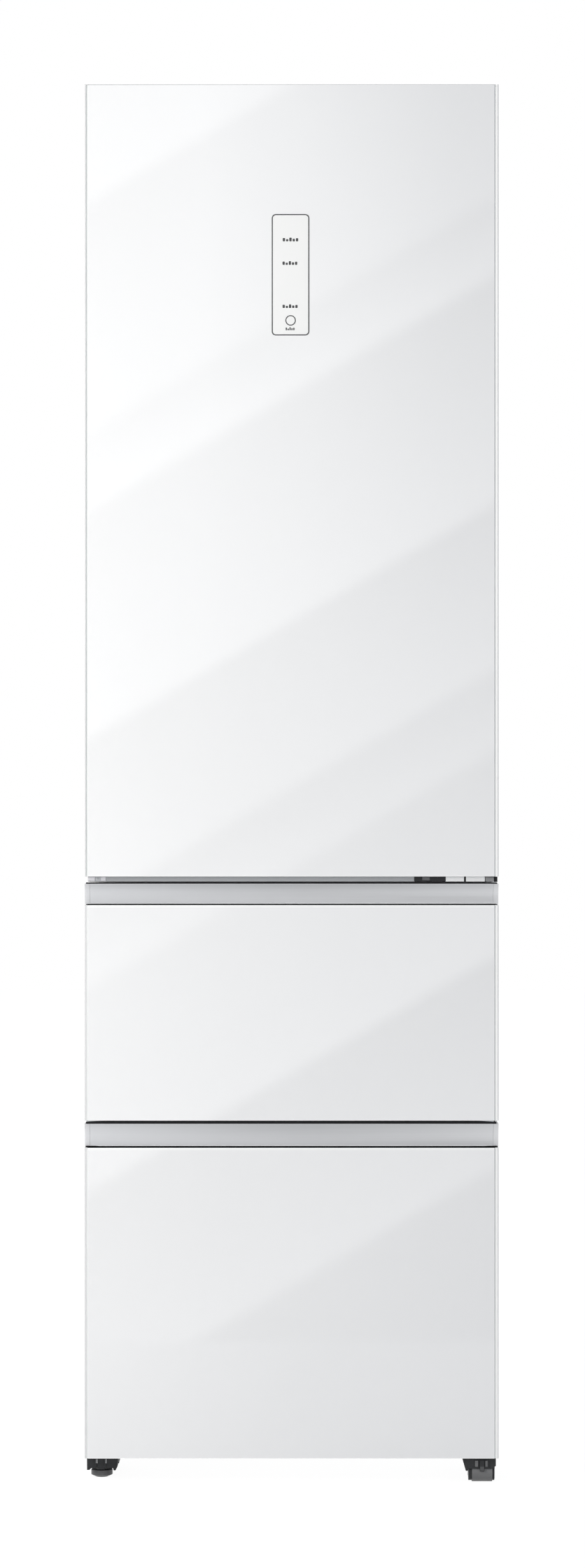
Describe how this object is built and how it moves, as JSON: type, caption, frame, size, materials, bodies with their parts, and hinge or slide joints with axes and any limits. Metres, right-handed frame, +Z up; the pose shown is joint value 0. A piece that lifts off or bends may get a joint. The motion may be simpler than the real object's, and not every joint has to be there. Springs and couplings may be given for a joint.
{
  "type": "fridge freezer",
  "caption": "Tall white glass-fronted fridge freezer with a right-hinged upper door over pull-out freezer drawers with recessed silver grip bands.",
  "frame": {"origin": "on the floor, under the middle of the overall box", "axes": "+Z up, +X to the right of someone facing the doors, the fronts face -Y"},
  "size_m": [0.595, 0.672, 2.01],
  "materials": {
    "white_steel": "satin",
    "back_steel": "satin",
    "zinc_steel": "satin",
    "foam": "matte",
    "front_foam": "satin",
    "liner_plastic": "satin",
    "white_plastic": "satin",
    "grey_plastic": "satin",
    "closer_plastic": "satin",
    "front_glass": "gloss",
    "touch_film": "gloss",
    "grip_aluminium": "satin",
    "seal_rubber": "matte",
    "shelf_glass": "gloss",
    "clear_plastic": "gloss",
    "circuit_board": "satin",
    "compressor_steel": "satin",
    "black_steel": "satin",
    "black_plastic": "matte",
    "evaporator_aluminium": "satin",
    "dark_bracket": "satin",
    "foot_plastic": "satin",
    "roller_plastic": "satin"
  },
  "bodies": {
    "cabinet": {"cabinet_shell": "white_steel", "back_panel": "back_steel", "base_pan": "zinc_steel", "cabinet_foam": "foam", "fridge_liner": "liner_plastic", "freezer_liner": "liner_plastic", "front_rails": "zinc_steel", "top_hinge": "zinc_steel", "top_cover": "white_plastic", "control_board": "circuit_board", "middle_hinge": "zinc_steel", "compressor": "compressor_steel", "condenser": "black_steel", "fan_frame": "black_plastic", "drip_tray": "black_plastic", "machine_cover": "black_plastic", "mains_inlet": "black_plastic", "evaporator": "evaporator_aluminium", "evaporator_cover": "liner_plastic", "air_tower": "liner_plastic", "glass_shelves": "shelf_glass", "outer_rails": "zinc_steel", "foot_bracket": "dark_bracket", "roller_fork": "dark_bracket", "screws": "zinc_steel"},
    "door": {"door_glass": "front_glass", "door_trims": "white_plastic", "door_core": "front_foam", "door_liner": "liner_plastic", "door_gasket": "seal_rubber", "door_top_cap": "white_plastic", "door_bottom_cap": "grey_plastic", "control_panel": "touch_film", "door_closer": "closer_plastic"},
    "bin_low": {"door_bin_low": "clear_plastic"},
    "bin_mid": {"door_bin_mid": "clear_plastic"},
    "bin_top": {"door_bin_top": "clear_plastic"},
    "middle_drawer": {"mid_glass": "front_glass", "mid_trims": "white_plastic", "mid_core": "front_foam", "mid_gasket": "seal_rubber", "mid_grip": "grip_aluminium", "mid_basket": "clear_plastic", "mid_rails": "zinc_steel"},
    "bottom_drawer": {"low_glass": "front_glass", "low_trims": "white_plastic", "low_core": "front_foam", "low_gasket": "seal_rubber", "low_grip": "grip_aluminium", "low_basket": "clear_plastic", "low_rails": "zinc_steel"},
    "middle_sliders": {"mid_sliders": "zinc_steel"},
    "bottom_sliders": {"low_sliders": "zinc_steel"},
    "crisper": {"crisper": "clear_plastic"},
    "chill_drawer": {"chill_drawer": "clear_plastic"},
    "condenser_fan": {"condenser_fan": "black_plastic"},
    "evaporator_fan": {"evaporator_fan": "black_plastic"},
    "levelling_foot": {"levelling_foot": "foot_plastic"},
    "front_roller": {"front_roller": "roller_plastic"},
    "rear_rollers": {"rear_rollers": "roller_plastic"}
  },
  "joints": [
    {"name": "door_hinge", "type": "hinge", "parent": "cabinet", "child": "door", "pos_m": [0.285, -0.308, 0.9], "axis": [0, 0, 1], "range_deg": [0, 115]},
    {"name": "middle_drawer_slide", "type": "slide", "parent": "cabinet", "child": "middle_drawer", "axis": [0, -1, 0], "range_m": [0, 0.4]},
    {"name": "bottom_drawer_slide", "type": "slide", "parent": "cabinet", "child": "bottom_drawer", "axis": [0, -1, 0], "range_m": [0, 0.33]},
    {"name": "middle_slider_travel", "type": "slide", "parent": "cabinet", "child": "middle_sliders", "axis": [0, -1, 0], "range_m": [0, 0.2]},
    {"name": "bottom_slider_travel", "type": "slide", "parent": "cabinet", "child": "bottom_sliders", "axis": [0, -1, 0], "range_m": [0, 0.165]},
    {"name": "low_bin_lift", "type": "slide", "parent": "door", "child": "bin_low", "axis": [0, 0, 1], "range_m": [0, 0.025]},
    {"name": "mid_bin_lift", "type": "slide", "parent": "door", "child": "bin_mid", "axis": [0, 0, 1], "range_m": [0, 0.025]},
    {"name": "top_bin_lift", "type": "slide", "parent": "door", "child": "bin_top", "axis": [0, 0, 1], "range_m": [0, 0.025]},
    {"name": "crisper_slide", "type": "slide", "parent": "cabinet", "child": "crisper", "axis": [0, -1, 0], "range_m": [0, 0.02]},
    {"name": "chill_drawer_slide", "type": "slide", "parent": "cabinet", "child": "chill_drawer", "axis": [0, -1, 0], "range_m": [0, 0.02]},
    {"name": "condenser_fan_spin", "type": "hinge", "parent": "cabinet", "child": "condenser_fan", "pos_m": [-0.03, 0.236, 0.15], "axis": [1, 0, 0], "continuous": true},
    {"name": "evaporator_fan_spin", "type": "hinge", "parent": "cabinet", "child": "evaporator_fan", "pos_m": [0, 0.231, 0.7497], "axis": [0, 1, 0], "continuous": true},
    {"name": "levelling_foot_turn", "type": "hinge", "parent": "cabinet", "child": "levelling_foot", "pos_m": [-0.2755, -0.268, 0.02], "axis": [0, 0, 1], "continuous": true},
    {"name": "front_roller_spin", "type": "hinge", "parent": "cabinet", "child": "front_roller", "pos_m": [0.2743, -0.312, 0.016], "axis": [1, 0, 0], "continuous": true},
    {"name": "rear_rollers_spin", "type": "hinge", "parent": "cabinet", "child": "rear_rollers", "pos_m": [0, 0.29, 0.016], "axis": [1, 0, 0], "continuous": true}
  ],
  "couplings": [
    {"joint": "middle_slider_travel", "follows": "middle_drawer_slide", "ratio": 0.5},
    {"joint": "bottom_slider_travel", "follows": "bottom_drawer_slide", "ratio": 0.5}
  ]
}
